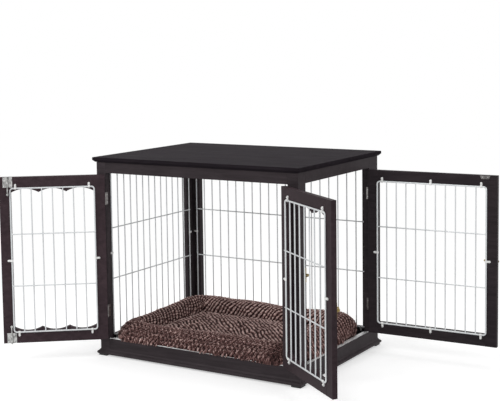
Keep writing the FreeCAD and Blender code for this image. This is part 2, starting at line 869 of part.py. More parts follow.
def bed_bolster():
    """The four-sided bolster: tapering straight runs joined by quarter turns."""
    bend = bolster_corner_radius
    middle_x = bed_half_length - bolster_width / 2
    middle_y = bed_half_depth - bolster_width / 2
    run_x = middle_x - bend
    run_y = middle_y - bend
    heights = [bolster_height_front_right, bolster_height_back_right, bolster_height_back_left,
               bolster_height_front_left]
    centres = [(run_x, -run_y), (run_x, run_y), (-run_x, run_y), (-run_x, -run_y)]
    solids = []
    for number in range(4):
        height = heights[number]
        x, y = centres[number]
        turn = 90.0 * number
        corner = Part.Face(placed_section(height, 0, 0, -bend)).revolve(Vec(0, 0, 0), Vec(0, 0, 1), 90)
        solids.append(moved(corner, turn, x, y))
        next_x, next_y = centres[(number + 1) % 4]
        out_x = bend * math.cos(math.radians(turn))
        out_y = bend * math.sin(math.radians(turn))
        start = placed_section(height, turn + 90, x + out_x, y + out_y)
        end = placed_section(heights[(number + 1) % 4], turn + 90, next_x + out_x, next_y + out_y)
        solids.append(Part.makeLoft([start, end], True, True))
    ring = fused(solids)
    ring.translate(Vec(0, 0, bed_seat))
    return ring


def bed_pad():
    """Crowned pad inside the bolster: a loft of arched sections, drawn in where the bolster bears on it."""
    half_x = bed_half_length - bolster_width - pad_gap
    half_y = bed_half_depth - bolster_width - pad_gap
    end_x = half_x + pad_trim
    end_y = half_y + pad_trim
    foot = bed_seat - pad_trim
    wires = []
    for share in (-1.0, -0.5, 0.0, 0.5, 1.0):
        x = share * end_x
        crown = pad_crown_height - (pad_crown_height - pad_end_crown_height) * share ** 2
        left_foot = Vec(x, -end_y, foot)
        right_foot = Vec(x, end_y, foot)
        left_edge = Vec(x, -end_y, bed_seat + pad_edge_height)
        right_edge = Vec(x, end_y, bed_seat + pad_edge_height)
        edges = [Part.makeLine(left_foot, right_foot), Part.makeLine(right_foot, right_edge),
                 arc(right_edge, Vec(x, 0, bed_seat + crown), left_edge),
                 Part.makeLine(left_edge, left_foot)]
        wires.append(Part.Wire(edges))
    pad = Part.makeLoft(wires, True, False)
    outline = rounded_block(half_x, half_y, pad_corner_radius, bed_seat, bed_seat + 2 * pad_crown_height)
    return pad.common(outline)


# ================================================================ assembly
def save_carcass():
    blocks = corner_blocks()
    screws = top_screws()
    posts = {
        "front_left_post": corner_post(front_post_face, side_front_face, -1, -1),
        "front_right_post": corner_post(front_post_face, side_front_face, 1, -1),
        "back_left_post": corner_post(back_post_face, side_back_face, -1, 1),
        "back_right_post": corner_post(back_post_face, side_back_face, 1, 1),
    }
    for name in posts:
        save(name, [posts[name]])
    catch_magnets = each_closed(on_side_door, magnets(side_door_width))
    right_apron = side_board(1, apron_bottom, frame_top)
    for magnet in catch_magnets:
        right_apron = right_apron.cut(magnet)
    save("front_apron", [front_or_back_board(front_opening_half, -1, apron_bottom, frame_top)])
    save("back_apron", [front_or_back_board(back_opening_half, 1, apron_bottom, frame_top)])
    save("left_apron", [side_board(-1, apron_bottom, frame_top)])
    save("right_apron", [right_apron])
    save("front_bottom_rail", [front_or_back_board(front_opening_half, -1, foot_height, rail_top)])
    save("back_bottom_rail", [front_or_back_board(back_opening_half, 1, foot_height, rail_top)])
    save("left_bottom_rail", [side_board(-1, foot_height, rail_top)])
    save("right_bottom_rail", [side_board(1, foot_height, rail_top)])
    save("top_panel", drilled([top_panel()], screws, 0.0))
    save("top_corner_blocks", drilled(blocks, screws, screw_clearance))
    save("top_screws", screws)
    save("door_magnets", catch_magnets)


def save_base():
    long_stick = moulding_stick(half_length)
    short_stick = moulding_stick(half_depth)
    save("base_moulding_front", [moved(long_stick, 0, 0, -half_depth)])
    save("base_moulding_right", [moved(short_stick, 90, half_length, 0)])
    save("base_moulding_back", [moved(long_stick, 180, 0, half_depth)])
    save("base_moulding_left", [moved(short_stick, 270, -half_length, 0)])
    save("corner_feet", corner_feet())
    save("sill_strips", sill_strips())
    save("floor_cleats", floor_cleats())
    save("floor_board", [floor_board()])
    save("floor_tray", [floor_tray()])


def save_fixed_panels():
    bottom = rail_top
    top = apron_bottom + panel_top_lap
    back_half = back_opening_half + panel_side_lap
    left_near = side_opening_front - panel_front_lap
    left_far = side_opening_back + panel_side_lap
    left_width = left_far - left_near

    def on_back(shape):
        return moved(shape, 180, back_half, inner_half_depth)

    def on_left(shape):
        return moved(shape, -90, -inner_half_length, left_far)

    save("back_wire_panel", [on_back(wire_panel(2 * back_half, bottom, top))])
    save("left_wire_panel", [on_left(wire_panel(left_width, bottom, top))])
    back_clips = each(on_back, panel_clips(2 * back_half, bottom, top, 4))
    left_clips = each(on_left, panel_clips(left_width, bottom, top, 3))
    save("fixed_panel_clips", back_clips + left_clips)


def save_hinges_and_keepers():
    leaves = at_both_hinges(hinge_leaf(False))
    pins = at_both_hinges(hinge_pin())
    places = (on_left_door, on_right_door, on_side_door)
    save("post_hinge_leaves", [closed(place, leaf) for place in places for leaf in leaves])
    save("hinge_pins", [closed(place, pin) for place in places for pin in pins])
    keeper = bolt_keeper(front_door_width)
    save("slide_bolt_keepers", each_closed(on_left_door, [keeper, upper_keeper(keeper)]))
    post_edge = free_edge(side_door_width) - door_side_gap
    save("side_latch_keeper", [closed(on_side_door, latch_keeper(post_edge, -1, side_latch_level))])


def save_door(prefix, place, width, rails, clip_count):
    save(prefix + "_stiles", each(place, door_stiles(width)))
    save(prefix + "_rails", each(place, rails))
    save(prefix + "_wire_panel", [place(door_wire(width))])
    save(prefix + "_wire_clips", each(place, door_clips(width, clip_count)))
    save(prefix + "_hinge_leaves", each(place, at_both_hinges(hinge_leaf(True))))


def save_doors():
    scalloped = scalloped_rails(front_door_width)
    save_door("left_door", on_left_door, front_door_width, scalloped, 2)
    save_door("right_door", on_right_door, front_door_width, scalloped, 2)
    save_door("side_door", on_side_door, side_door_width, straight_rails(side_door_width), 3)


def save_door_hardware():
    guide = bolt_guide(front_door_width)
    bolt = bolt_rod(front_door_width)
    save("slide_bolt_guides", each(on_left_door, [guide, upper_twin(guide)]))
    save("lower_slide_bolt", [on_left_door(bolt)])
    save("upper_slide_bolt", [on_left_door(upper_twin(bolt))])
    keeper = latch_keeper(free_edge(front_door_width), 1, front_latch_level)
    save("front_latch_keeper", [on_left_door(keeper)])
    save("front_latch_guide", [on_right_door(latch_guide(front_door_width, front_latch_level))])
    save("front_latch_bolt", [on_right_door(latch_bolt(front_door_width, front_latch_level))])
    save("side_latch_guide", [on_side_door(latch_guide(side_door_width, side_latch_level))])
    save("side_latch_bolt", [on_side_door(latch_bolt(side_door_width, side_latch_level))])
    save("side_door_counter_plate", [on_side_door(counter_plate(side_door_width))])


os.makedirs("parts", exist_ok=True)
save_carcass()
save_base()
save_fixed_panels()
save_hinges_and_keepers()
save_doors()
save_door_hardware()
save("bed_bolster", [bed_bolster()])
save("bed_pad", [bed_pad()])
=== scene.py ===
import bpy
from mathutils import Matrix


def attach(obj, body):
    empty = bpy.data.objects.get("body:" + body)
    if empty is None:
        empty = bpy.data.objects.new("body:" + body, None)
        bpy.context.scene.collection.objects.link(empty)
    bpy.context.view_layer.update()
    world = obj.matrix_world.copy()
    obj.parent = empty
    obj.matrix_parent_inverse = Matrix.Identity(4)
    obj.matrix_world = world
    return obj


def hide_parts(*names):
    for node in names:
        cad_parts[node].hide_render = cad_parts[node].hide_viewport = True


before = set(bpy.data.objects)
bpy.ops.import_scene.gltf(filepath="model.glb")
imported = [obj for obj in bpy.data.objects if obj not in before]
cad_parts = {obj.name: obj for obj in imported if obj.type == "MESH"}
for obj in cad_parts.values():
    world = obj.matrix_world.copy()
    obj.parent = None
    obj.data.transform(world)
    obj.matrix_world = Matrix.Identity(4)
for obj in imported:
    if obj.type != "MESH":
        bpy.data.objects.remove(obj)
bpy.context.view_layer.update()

import math

import bmesh
import bpy
import numpy as np
from mathutils import Matrix, Vector

MM = 0.001
scene = bpy.context.scene
scene.view_settings.view_transform = "Standard"

# ------------------------------------------------------------------ sizes shared with the CAD model, mm
HALF_LENGTH = 382.0
HALF_DEPTH = 280.0
INNER_HALF_LENGTH = 362.0
INNER_HALF_DEPTH = 260.0
DOOR_OUTER = 2.8            # door's outer face, from the hinge axis
DOOR_INNER = 18.8
FRONT_DOOR_WIDTH = 342.5
SIDE_DOOR_WIDTH = 442.0
DOOR_BOTTOM = 63.0
DOOR_TOP = 615.0
LEFT_OPEN = 142.0
RIGHT_OPEN = 143.0
SIDE_OPEN = 92.0
FRONT_AXIS = (345.0, -282.8)
SIDE_AXIS = (384.8, 213.0)
HINGE_MIDDLES = (155.0, 533.0)
FRONT_LATCH_LEVEL = 310.0
SIDE_LATCH_LEVEL = 338.0


# ------------------------------------------------------------------ camera
def make_camera():
    azimuth = math.radians(31.311)
    tilt = math.radians(5.0)
    roll = math.radians(0.751)
    focal_px = 1126.7
    width_px, height_px = 500.0, 401.0
    axis_row_px = 138.7
    forward = Vector((-math.sin(azimuth) * math.cos(tilt), math.cos(azimuth) * math.cos(tilt),
                      -math.sin(tilt)))
    right = Vector((math.cos(azimuth), math.sin(azimuth), 0.0))
    up = right.cross(forward)
    rolled_right = right * math.cos(roll) - up * math.sin(roll)
    rolled_up = right * math.sin(roll) + up * math.cos(roll)
    data = bpy.data.cameras.new("camera")
    data.sensor_width = 36.0
    data.lens = data.sensor_width * focal_px / width_px
    data.shift_y = -(height_px / 2 - axis_row_px) / width_px
    data.clip_start = 0.05
    data.clip_end = 60.0
    camera = bpy.data.objects.new("camera", data)
    scene.collection.objects.link(camera)
    matrix = Matrix((rolled_right, rolled_up, -forward)).transposed().to_4x4()
    matrix.translation = Vector((1.99234, -3.19838, 1.05018))
    camera.matrix_world = matrix
    scene.camera = camera


# ------------------------------------------------------------------ node helpers
class Nodes:
    """A small builder for a material's node tree."""

    def __init__(self, name):
        self.material = bpy.data.materials.new(name)
        self.material.use_nodes = True
        self.tree = self.material.node_tree
        self.tree.nodes.clear()
        self.output = self.add("ShaderNodeOutputMaterial")
        self.shader = self.add("ShaderNodeBsdfPrincipled")
        self.link(self.shader.outputs["BSDF"], self.output.inputs["Surface"])

    def add(self, kind, **values):
        node = self.tree.nodes.new(kind)
        for key, value in values.items():
            setattr(node, key, value)
        return node

    def link(self, source, target):
        self.tree.links.new(source, target)

    def set(self, **values):
        for key, value in values.items():
            self.shader.inputs[key.replace("_", " ")].default_value = value

    def coordinates(self, turn=(0.0, 0.0, 0.0), scale=(1.0, 1.0, 1.0)):
        source = self.add("ShaderNodeTexCoord")
        mapping = self.add("ShaderNodeMapping")
        mapping.inputs["Rotation"].default_value = turn
        mapping.inputs["Scale"].default_value = scale
        self.link(source.outputs["Object"], mapping.inputs["Vector"])
        return mapping.outputs["Vector"]

    def noise(self, vector, scale, detail=4.0, roughness=0.55, distortion=0.0):
        node = self.add("ShaderNodeTexNoise")
        node.inputs["Scale"].default_value = scale
        node.inputs["Detail"].default_value = detail
        node.inputs["Roughness"].default_value = roughness
        node.inputs["Distortion"].default_value = distortion
        self.link(vector, node.inputs["Vector"])
        return node.outputs["Fac"]

    def ramp(self, value, stops):
        node = self.add("ShaderNodeValToRGB")
        elements = node.color_ramp.elements
        while len(elements) < len(stops):
            elements.new(0.5)
        for element, (place, colour) in zip(elements, stops):
            element.position = place
            element.color = (*colour, 1.0)
        self.link(value, node.inputs["Fac"])
        return node.outputs["Color"]

    def spread(self, value, low, high, from_low=0.3, from_high=0.7):
        node = self.add("ShaderNodeMapRange")
        node.inputs["From Min"].default_value = from_low
        node.inputs["From Max"].default_value = from_high
        node.inputs["To Min"].default_value = low
        node.inputs["To Max"].default_value = high
        self.link(value, node.inputs["Value"])
        return node.outputs["Result"]

    def math(self, operation, first, second):
        node = self.add("ShaderNodeMath", operation=operation)
        for socket, value in zip(node.inputs, (first, second)):
            if isinstance(value, (int, float)):
                socket.default_value = value
            else:
                self.link(value, socket)
        return node.outputs["Value"]

    def mix(self, factor, first, second, mode="MIX"):
        node = self.add("ShaderNodeMix", data_type="RGBA", blend_type=mode)
        for socket, value in ((node.inputs[0], factor), (node.inputs[6], first), (node.inputs[7], second)):
            if isinstance(value, (int, float)):
                socket.default_value = value
            elif isinstance(value, tuple):
                socket.default_value = (*value, 1.0)
            else:
                self.link(value, socket)
        return node.outputs[2]

    def bump(self, height, strength, distance, normal=None):
        node = self.add("ShaderNodeBump")
        node.inputs["Strength"].default_value = strength
        node.inputs["Distance"].default_value = distance
        self.link(height, node.inputs["Height"])
        if normal is not None:
            self.link(normal, node.inputs["Normal"])
        return node.outputs["Normal"]

    def use(self, socket, value):
        self.link(value, self.shader.inputs[socket])


def scaled(colour, factor):
    return tuple(min(1.0, channel * factor) for channel in colour)


# ------------------------------------------------------------------ materials
def wood(name, colour, along, gloss=0.46, shine=0.06):
    """Dark stained wood: long streaks along the board, open pores and a satin lacquer."""
    direction = Vector(along).normalized()
    turn = direction.rotation_difference(Vector((1.0, 0.0, 0.0))).to_euler()
    n = Nodes(name)
    grain_space = n.coordinates(turn, (1.0, 11.0, 11.0))
    streaks = n.noise(grain_space, 7.0, 6.0, 0.6, 0.35)
    fine_space = n.coordinates(turn, (4.0, 110.0, 110.0))
    pores = n.noise(fine_space, 5.0, 3.0, 0.65)
    cloud = n.noise(n.coordinates(), 5.5, 2.0)
    base = n.ramp(streaks, [(0.30, scaled(colour, 0.76)), (0.50, colour), (0.70, scaled(colour, 1.26))])
    pore_shade = n.ramp(pores, [(0.36, (0.80, 0.80, 0.80)), (0.52, (1.0, 1.0, 1.0))])
    cloud_shade = n.ramp(cloud, [(0.30, (0.88, 0.88, 0.88)), (0.70, (1.10, 1.10, 1.10))])
    shaded = n.mix(1.0, base, pore_shade, "MULTIPLY")
    n.use("Base Color", n.mix(1.0, shaded, cloud_shade, "MULTIPLY"))
    n.use("Roughness", n.spread(n.math("ADD", streaks, pores), gloss - 0.06, gloss + 0.12, 0.7, 1.3))
    n.use("Normal", n.bump(pores, 0.22, 0.0003, n.bump(streaks, 0.20, 0.0005)))
    n.set(Specular_IOR_Level=shine)
    return n.material


def metal(name, colour, roughness, brushed=(1.0, 1.0, 14.0), patches=0.84):
    """Plated metal with faint brushing and cloudy patches, darker by the given share."""
    n = Nodes(name)
    lines = n.noise(n.coordinates(scale=brushed), 130.0, 3.0, 0.6)
    cloud = n.noise(n.coordinates(), 90.0, 3.0)
    base = n.ramp(cloud, [(0.36, scaled(colour, patches)), (0.62, scaled(colour, 1.08))])
    n.use("Base Color", base)
    n.use("Roughness", n.spread(lines, roughness - 0.07, roughness + 0.10))
    n.use("Normal", n.bump(lines, 0.18, 0.00015))
    n.set(Metallic=1.0)
    return n.material


def painted_wire():
    """Pale powder coat: slightly orange-peeled, a little greyer where it is thin."""
    n = Nodes("wire_coat")
    peel = n.noise(n.coordinates(), 420.0, 2.0)
    thin = n.noise(n.coordinates(scale=(1.0, 1.0, 0.35)), 24.0, 3.0)
    n.use("Base Color", n.ramp(thin, [(0.30, (0.66, 0.68, 0.70)), (0.65, (0.78, 0.80, 0.81))]))
    n.use("Roughness", n.spread(thin, 0.26, 0.38))
    n.use("Normal", n.bump(peel, 0.22, 0.0002))
    n.set(Metallic=0.15, Coat_Weight=0.3, Coat_Roughness=0.15)
    return n.material


def plastic(name, colour, roughness, grain_scale, grain_depth):
    n = Nodes(name)
    grain = n.noise(n.coordinates(), grain_scale, 3.0, 0.6)
    cloud = n.noise(n.coordinates(), 14.0, 2.0)
    n.use("Base Color", n.ramp(cloud, [(0.30, scaled(colour, 0.90)), (0.70, scaled(colour, 1.10))]))
    n.use("Roughness", n.spread(grain, roughness - 0.05, roughness + 0.08))
    n.use("Normal", n.bump(grain, 0.30, grain_depth))
    return n.material


def paint_node(node, material):
    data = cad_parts[node].data
    data.materials.clear()
    data.materials.append(material)


# The photograph's light differs from door to door; their stains follow it.
ESPRESSO = (0.043, 0.0345, 0.0380)
# painted shade: a darker copy of the espresso for the top panel, which takes more light than the upright
# faces
ESPRESSO_TOP_SHADED = (0.021, 0.0168, 0.0205)
# painted light and shade: lighter and darker copies of one door stain, one for each door as the light falls
# on it
DOOR_LIT_STAINS = {"left": (0.051, 0.0340, 0.0395), "right": (0.0375, 0.0250, 0.0290),
               "side": (0.0300, 0.0235, 0.0268)}
LIT_POST = 1.3
LIT_MOULDING = 1.18


def door_direction(kind):
    """Direction of a door's rails in the row frame."""
    if kind == "left":
        angle = math.radians(180.0 - LEFT_OPEN)
        return (math.cos(angle), math.sin(angle), 0.0)
    turn = RIGHT_OPEN if kind == "right" else 90.0 + SIDE_OPEN
    return (math.cos(math.radians(turn)), math.sin(math.radians(turn)), 0.0)


def paint_cad():
    along_x = wood("espresso_lengthwise", ESPRESSO, (1, 0, 0))
    along_y = wood("espresso_endwise", ESPRESSO, (0, 1, 0))
    upright = wood("espresso_upright", ESPRESSO, (0, 0, 1))
    # the top panel gets the darker copy of the espresso as painted shade
    paint_node("top_panel", wood("espresso_top_painted_shade", ESPRESSO_TOP_SHADED, (1, 0, 0), 0.42, 0.002))
    for node in ("front_apron", "back_apron", "front_bottom_rail", "back_bottom_rail", "floor_board",
                 "floor_cleats"):
        paint_node(node, along_x)
    for node in ("left_apron", "right_apron", "left_bottom_rail", "right_bottom_rail"):
        paint_node(node, along_y)
    moulding = scaled(ESPRESSO, LIT_MOULDING)
    for node in ("base_moulding_front", "base_moulding_back"):
        paint_node(node, wood(node + "_wood", moulding, (1, 0, 0)))
    for node in ("base_moulding_left", "base_moulding_right"):
        paint_node(node, wood(node + "_wood", moulding, (0, 1, 0)))
    for node in ("front_right_post", "back_left_post", "back_right_post", "top_corner_blocks"):
        paint_node(node, upright)
    paint_node("front_left_post", wood("espresso_lit_post", scaled(ESPRESSO, LIT_POST), (0, 0, 1)))
    # each door's stiles and rails take that door's lit or shaded copy of the stain as painted light and
    # shade
    for kind, lit_stain in DOOR_LIT_STAINS.items():
        paint_node(kind + "_door_stiles", wood(kind + "_door_stile", lit_stain, (0, 0, 1)))
        paint_node(kind + "_door_rails", wood(kind + "_door_rail", lit_stain, door_direction(kind)))
    wire = painted_wire()
    for node in ("back_wire_panel", "left_wire_panel", "left_door_wire_panel",
                 "right_door_wire_panel", "side_door_wire_panel"):
        paint_node(node, wire)
    clip = plastic("clip_plastic", (0.90, 0.90, 0.89), 0.26, 300.0, 0.0001)
    for node in ("fixed_panel_clips", "left_door_wire_clips", "right_door_wire_clips",
                 "side_door_wire_clips"):
        paint_node(node, clip)
    # painted shade: the hinge metal is made dark to stand for the dark surroundings it mirrors
    shaded_nickel = metal("hinge_nickel_painted_shade", (0.27, 0.255, 0.25), 0.34, patches=0.50)
    for node in ("post_hinge_leaves", "hinge_pins", "left_door_hinge_leaves",
                 "right_door_hinge_leaves", "side_door_hinge_leaves", "side_door_counter_plate"):
        paint_node(node, shaded_nickel)
    zinc = metal("bolt_zinc", (0.54, 0.54, 0.53), 0.32, patches=0.36)
    for node in ("slide_bolt_guides", "slide_bolt_keepers", "lower_slide_bolt", "upper_slide_bolt",
                 "top_screws"):
        paint_node(node, zinc)
    brass = metal("latch_brass", (0.30, 0.225, 0.095), 0.32)
    for node in ("front_latch_keeper", "front_latch_guide", "front_latch_bolt", "side_latch_guide",
                 "side_latch_bolt", "side_latch_keeper"):
        paint_node(node, brass)
    paint_node("door_magnets", metal("magnet_nickel", (0.46, 0.46, 0.47), 0.35))
    paint_node("sill_strips", metal("sill_aluminium", (0.80, 0.80, 0.80), 0.30, (14.0, 1.0, 1.0)))
    paint_node("corner_feet", plastic("foot_rubber", (0.022, 0.022, 0.022), 0.62, 160.0, 0.0003))
    paint_node("floor_tray", plastic("tray_plastic", (0.020, 0.021, 0.023), 0.45, 90.0, 0.0004))


# ------------------------------------------------------------------ light and floor, metres
FLOOR_REACH = 14.0
FLOOR_GLOW = 0.45           # lifts the floor near the crate towards white
WHITE_FROM, WHITE_TO = 0.75, 1.5    # from the middle, where the floor turns plain white
SKY_LIGHT = 0.55


def make_stage():
    """A pale floor that keeps the shadow near the crate and is plain white farther out."""
    mesh = bpy.data.meshes.new("floor")
    corners = [(x * FLOOR_REACH, y * FLOOR_REACH, 0) for x, y in ((-1, -1), (1, -1), (1, 1), (-1, 1))]
    mesh.from_pydata(corners, [], [(0, 1, 2, 3)])
    floor = bpy.data.objects.new("floor", mesh)
    scene.collection.objects.link(floor)
    n = Nodes("floor_paper")
    mottle = n.noise(n.coordinates(), 3.0, 2.0)
    n.use("Base Color", n.ramp(mottle, [(0.3, (0.78, 0.78, 0.78)), (0.7, (0.80, 0.80, 0.80))]))
    n.set(Roughness=0.9, Specular_IOR_Level=0.0)
    glow = n.add("ShaderNodeEmission")
    ray = n.add("ShaderNodeLightPath")
    shown = n.math("MAXIMUM", ray.outputs["Is Camera Ray"], ray.outputs["Is Glossy Ray"])
    n.link(n.math("MULTIPLY", shown, FLOOR_GLOW), glow.inputs["Strength"])
    total = n.add("ShaderNodeAddShader")
    n.link(n.shader.outputs["BSDF"], total.inputs[0])
    n.link(glow.outputs["Emission"], total.inputs[1])
    length = n.add("ShaderNodeVectorMath", operation="LENGTH")
    n.link(n.coordinates(), length.inputs[0])
    far = n.spread(length.outputs["Value"], 0.0, 1.0, WHITE_FROM, WHITE_TO)
    white = n.add("ShaderNodeEmission")
    both = n.add("ShaderNodeMixShader")
    n.link(n.math("MULTIPLY", far, shown), both.inputs["Fac"])
    n.link(total.outputs["Shader"], both.inputs[1])
    n.link(white.outputs["Emission"], both.inputs[2])
    n.link(both.outputs["Shader"], n.output.inputs["Surface"])
    mesh.materials.append(n.material)


def make_world():
    """White where it is seen, mirrored or looked at through something, and dimmer as a light."""
    world = bpy.data.worlds.new("studio")
    world.use_nodes = True
    tree = world.node_tree
    tree.nodes.clear()
    output = tree.nodes.new("ShaderNodeOutputWorld")
    background = tree.nodes.new("ShaderNodeBackground")
    ray = tree.nodes.new("ShaderNodeLightPath")
    seen = tree.nodes.new("ShaderNodeMath")
    seen.operation = "MAXIMUM"
    tree.links.new(ray.outputs["Is Camera Ray"], seen.inputs[0])
    through = tree.nodes.new("ShaderNodeMath")
    through.operation = "MAXIMUM"
    tree.links.new(ray.outputs["Is Glossy Ray"], through.inputs[0])
    tree.links.new(ray.outputs["Is Transmission Ray"], through.inputs[1])
    tree.links.new(through.outputs[0], seen.inputs[1])
    strength = tree.nodes.new("ShaderNodeMapRange")
    strength.inputs["To Min"].default_value = SKY_LIGHT
    strength.inputs["To Max"].default_value = 1.0
    tree.links.new(seen.outputs[0], strength.inputs["Value"])
    background.inputs["Color"].default_value = (1.0, 1.0, 1.0, 1.0)
    tree.links.new(strength.outputs["Result"], background.inputs["Strength"])
    tree.links.new(background.outputs["Background"], output.inputs["Surface"])
    scene.world = world


def area_lamp(name, place, aim, size, power):
    data = bpy.data.lights.new(name, "AREA")
    data.shape = "RECTANGLE"
    data.size, data.size_y = size
    data.energy = power
    lamp = bpy.data.objects.new(name, data)
    scene.collection.objects.link(lamp)
    lamp.location = place
    lamp.rotation_euler = (Vector(aim) - Vector(place)).to_track_quat("-Z", "Y").to_euler()
    lamp.visible_camera = False


def make_lights():
    area_lamp("key", (-2.2, -4.2, 3.6), (0.0, 0.0, 0.3), (2.6, 2.2), 95.0)
    area_lamp("fill", (4.2, -2.4, 2.2), (0.1, 0.0, 0.3), (2.4, 2.4), 34.0)
    area_lamp("overhead", (0.0, 0.6, 4.2), (0.0, 0.0, 0.3), (3.4, 3.0), 40.0)


# ------------------------------------------------------------------ plush bed
BED_HALF_LENGTH = 351.5
BED_HALF_DEPTH = 251.0
BED_SEAT = 37.3
BOLSTER_WIDTH = 90.0
BOLSTER_CORNER = 49.0       # on the bolster's middle line
BOLSTER_MIDDLE = 70.0       # level of the middle line
ROPE_PITCH = 16.0           # plush ropes along the bolster
TUFT_PITCH = 13.0           # tufts along one rope
PAD_ROPE_PITCH = 12.5
PAD_TUFT_PITCH = 38.0
PILE_DEPTH = 6.5
PAD_PILE_DEPTH = 7.5
SILL_TOP = 60.7
WIRE_ROOM = 5.2             # wire panels stand in from the frame's inner faces
FRONT_SPILL = 32.0          # how far the bolster is let out over the sills
RIGHT_SPILL = 23.0
EDGE_HANG = 4.5             # pile past the front sill hangs this far down, and is
EDGE_REACH = 2.4            # cut off this far from the sill
SIDE_REACH = -2.0           # the same at the right, short of the sill's edge
FILL_STEPS = 20             # frames of the cloth simulation


def ripple(points, wavelength, seed, waves=14):
    """Smooth seeded noise of about unit height, as a sum of waves in random directions."""
    source = np.random.default_rng(seed)
    directions = source.normal(size=(waves, 3))
    directions /= np.linalg.norm(directions, axis=1)[:, None]
    lengths = wavelength * source.uniform(0.7, 1.5, waves)
    phases = source.uniform(0, 2 * math.pi, waves)
    swing = points @ (directions * (2 * math.pi / lengths)[:, None]).T + phases
    return np.sin(swing).sum(axis=1) / math.sqrt(waves)


def scatter(whole_numbers, seed):
    """A fixed random number from 0 to 1 for each whole number."""
    return np.modf(np.abs(np.sin(whole_numbers * 12.9898 + seed * 78.233) * 43758.5453))[0]


def rope(phase):
    """Rounded rows: 0 in the creases and 1 on the backs."""
    across = 2 * (phase - np.floor(phase)) - 1
    return np.sqrt(np.maximum(0.0, 1 - across ** 2))


def ring_coordinates(points):
    """Distance outside the bolster's middle line and the way along it from the front's middle, mm."""
    core_x = BED_HALF_LENGTH - BOLSTER_WIDTH / 2 - BOLSTER_CORNER
    core_y = BED_HALF_DEPTH - BOLSTER_WIDTH / 2 - BOLSTER_CORNER
    near_x = np.clip(points[:, 0], -core_x, core_x)
    near_y = np.clip(points[:, 1], -core_y, core_y)
    dx, dy = points[:, 0] - near_x, points[:, 1] - near_y
    out = np.hypot(dx, dy) - BOLSTER_CORNER
    turn = np.arctan2(dx, -dy)
    straight = np.select([dx > 0, dx < 0, dy < 0],
                         [core_x + near_y + core_y, -(core_x + near_y + core_y), near_x],
                         3 * core_x / 2 + 2 * core_y + core_x / 2 - near_x)
    return out, straight + BOLSTER_CORNER * turn


def read_points(mesh):
    points = np.empty(len(mesh.vertices) * 3)
    mesh.vertices.foreach_get("co", points)
    return points.reshape(-1, 3) / MM


def read_normals(mesh):
    normals = np.empty(len(mesh.vertices) * 3)
    mesh.vertex_normals.foreach_get("vector", normals)
    return normals.reshape(-1, 3)


def write_points(mesh, points):
    mesh.vertices.foreach_set("co", (points * MM).ravel())
    mesh.update()


def take_modifiers(skin):
    """Makes the modified shape the object's own."""
    graph = bpy.context.evaluated_depsgraph_get()
    skin.data = bpy.data.meshes.new_from_object(skin.evaluated_get(graph))
    skin.modifiers.clear()


def inflated(name, node, voxel, cap, shrink, levels):
    """The node's solid as a cloth skin blown up from inside, in fine even faces."""
    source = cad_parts[node]
    mesh = source.data.copy()
    mesh.transform(source.matrix_world)
    mesh.materials.clear()
    skin = bpy.data.objects.new(name, mesh)
    scene.collection.objects.link(skin)
    remesh = skin.modifiers.new("even", "REMESH")
    remesh.mode = "VOXEL"
    remesh.voxel_size = voxel * MM
    take_modifiers(skin)
    start = read_points(skin.data) - read_normals(skin.data) * shrink
    write_points(skin.data, start)
    cloth = skin.modifiers.new("cloth", "CLOTH").settings
    cloth.quality = 4
    cloth.use_pressure = True
    cloth.uniform_pressure_force = 4.0
    cloth.effector_weights.gravity = 0.0
    for number in range(1, FILL_STEPS + 1):
        scene.frame_set(number)
    take_modifiers(skin)
    step = read_points(skin.data) - start
    length = np.linalg.norm(step, axis=1)[:, None]
    start = start + step * np.minimum(1.0, cap / np.maximum(length, 0.001))
    write_points(skin.data, start)
    scene.frame_set(1)
    smooth = skin.modifiers.new("fine", "SUBSURF")
    smooth.levels = smooth.render_levels = levels
    take_modifiers(skin)
    skin.data.shade_smooth()
    return skin


def keep_shade(mesh, values):
    """How high each point stands in the pile, for the material's light tips and dark creases: painted
    highlight and painted shade over the cloth's own colour.
    """
    mesh.attributes.new("pile", "FLOAT", "POINT").data.foreach_set("value", values)


def plush_cloth():
    n = Nodes("plush")
    pile = n.add("ShaderNodeAttribute", attribute_name="pile").outputs["Fac"]
    fibre_space = n.coordinates()
    fibre = n.noise(fibre_space, 520.0, 3.0, 0.7)
    blotch = n.noise(fibre_space, 26.0, 3.0, 0.6)
    height = n.math("ADD", pile, n.spread(fibre, -0.27, 0.27))
    # the pile's own colour, darkened in the creases as painted shade and lightened on the tips as painted
    # highlight
    shade = n.ramp(height, [(0.04, (0.006, 0.0035, 0.0035)), (0.35, (0.050, 0.023, 0.022)),
                            (0.68, (0.222, 0.120, 0.112)), (1.0, (0.80, 0.60, 0.56))])
    tone = n.ramp(blotch, [(0.30, (0.78, 0.76, 0.76)), (0.70, (1.22, 1.20, 1.18))])
    n.use("Base Color", n.mix(1.0, shade, tone, "MULTIPLY"))
    n.use("Roughness", n.spread(fibre, 0.82, 1.0))
    n.use("Normal", n.bump(fibre, 0.8, 0.0016))
    n.set(Sheen_Weight=0.20, Sheen_Roughness=0.45, Sheen_Tint=(0.75, 0.60, 0.56, 1.0),
          Specular_IOR_Level=0.12)
    return n.material


def step_up(values, start, run):
    """0 before start, 1 after run more."""
    return np.clip((values - start) / run, 0.0, 1.0)


def bell(values, middle, width):
    return np.exp(-((values - middle) / width) ** 2)


def along_side(distance, half_size):
    """0 inside and 1 on the bolster's length at one side; distance is the way towards that side."""
    return step_up(distance, half_size - BOLSTER_WIDTH - 10.0, 20.0)


